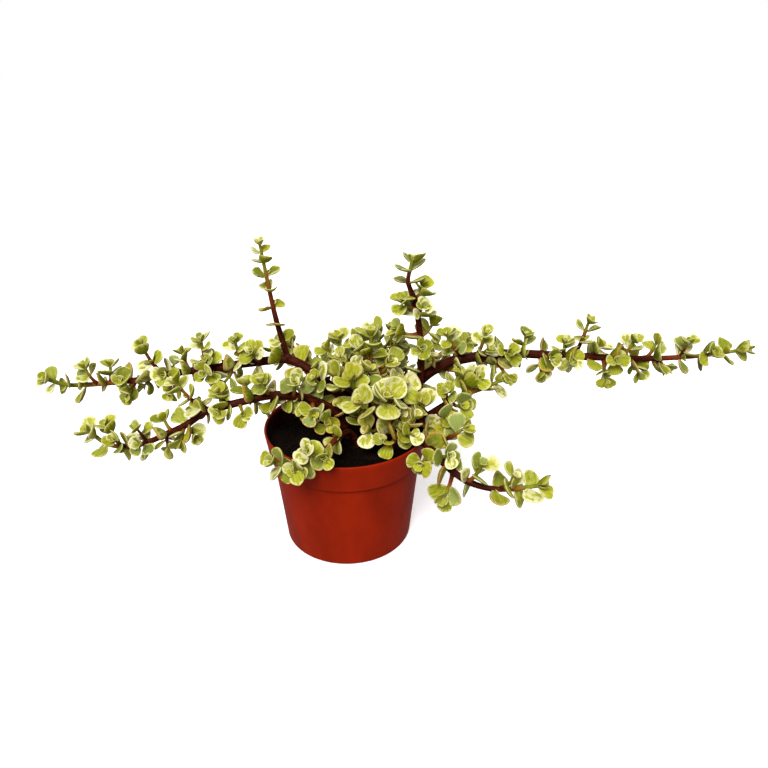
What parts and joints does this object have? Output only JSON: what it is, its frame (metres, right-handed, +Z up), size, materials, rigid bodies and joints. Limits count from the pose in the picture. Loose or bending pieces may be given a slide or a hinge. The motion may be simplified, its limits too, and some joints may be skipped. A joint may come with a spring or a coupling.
{
  "type": "potted elephant bush",
  "caption": "Variegated elephant bush with arching and upright red-brown stems and fleshy cream-edged leaves, growing in soil in a round tapered plastic nursery pot.",
  "frame": {"origin": "middle of the pot's flat underside", "axes": "+Z up out of the pot, +X along the long stems towards the right-hand one, -Y towards the low front stems"},
  "size_m": [0.5184, 0.1949, 0.2224],
  "materials": {
    "pot": "terracotta-red polypropylene, soft satin",
    "soil": "dark peaty potting soil, rough and matte",
    "stem": "maroon to red-brown bark, satin, ringed at the nodes",
    "leaf": "fleshy, satin, green in the middle with a pale cream-yellow edge"
  },
  "bodies": {
    "root": {"pot": "pot", "soil": "soil", "stem_left_upper": "leaf", "stem_left_lower": "leaf", "stem_front_left": "leaf", "stem_front_right": "leaf", "stem_right_long": "leaf", "stem_right_upright": "leaf", "stem_right_middle": "leaf", "stem_centre_front": "leaf", "stem_centre_left": "leaf", "stem_centre_middle": "leaf", "stem_centre_top": "leaf", "stem_top_left": "leaf", "stem_top_right": "leaf", "stem_low_front": "leaf", "stem_back_left": "leaf", "stem_back_middle": "leaf", "stem_back_right": "leaf"}
  },
  "joints": []
}
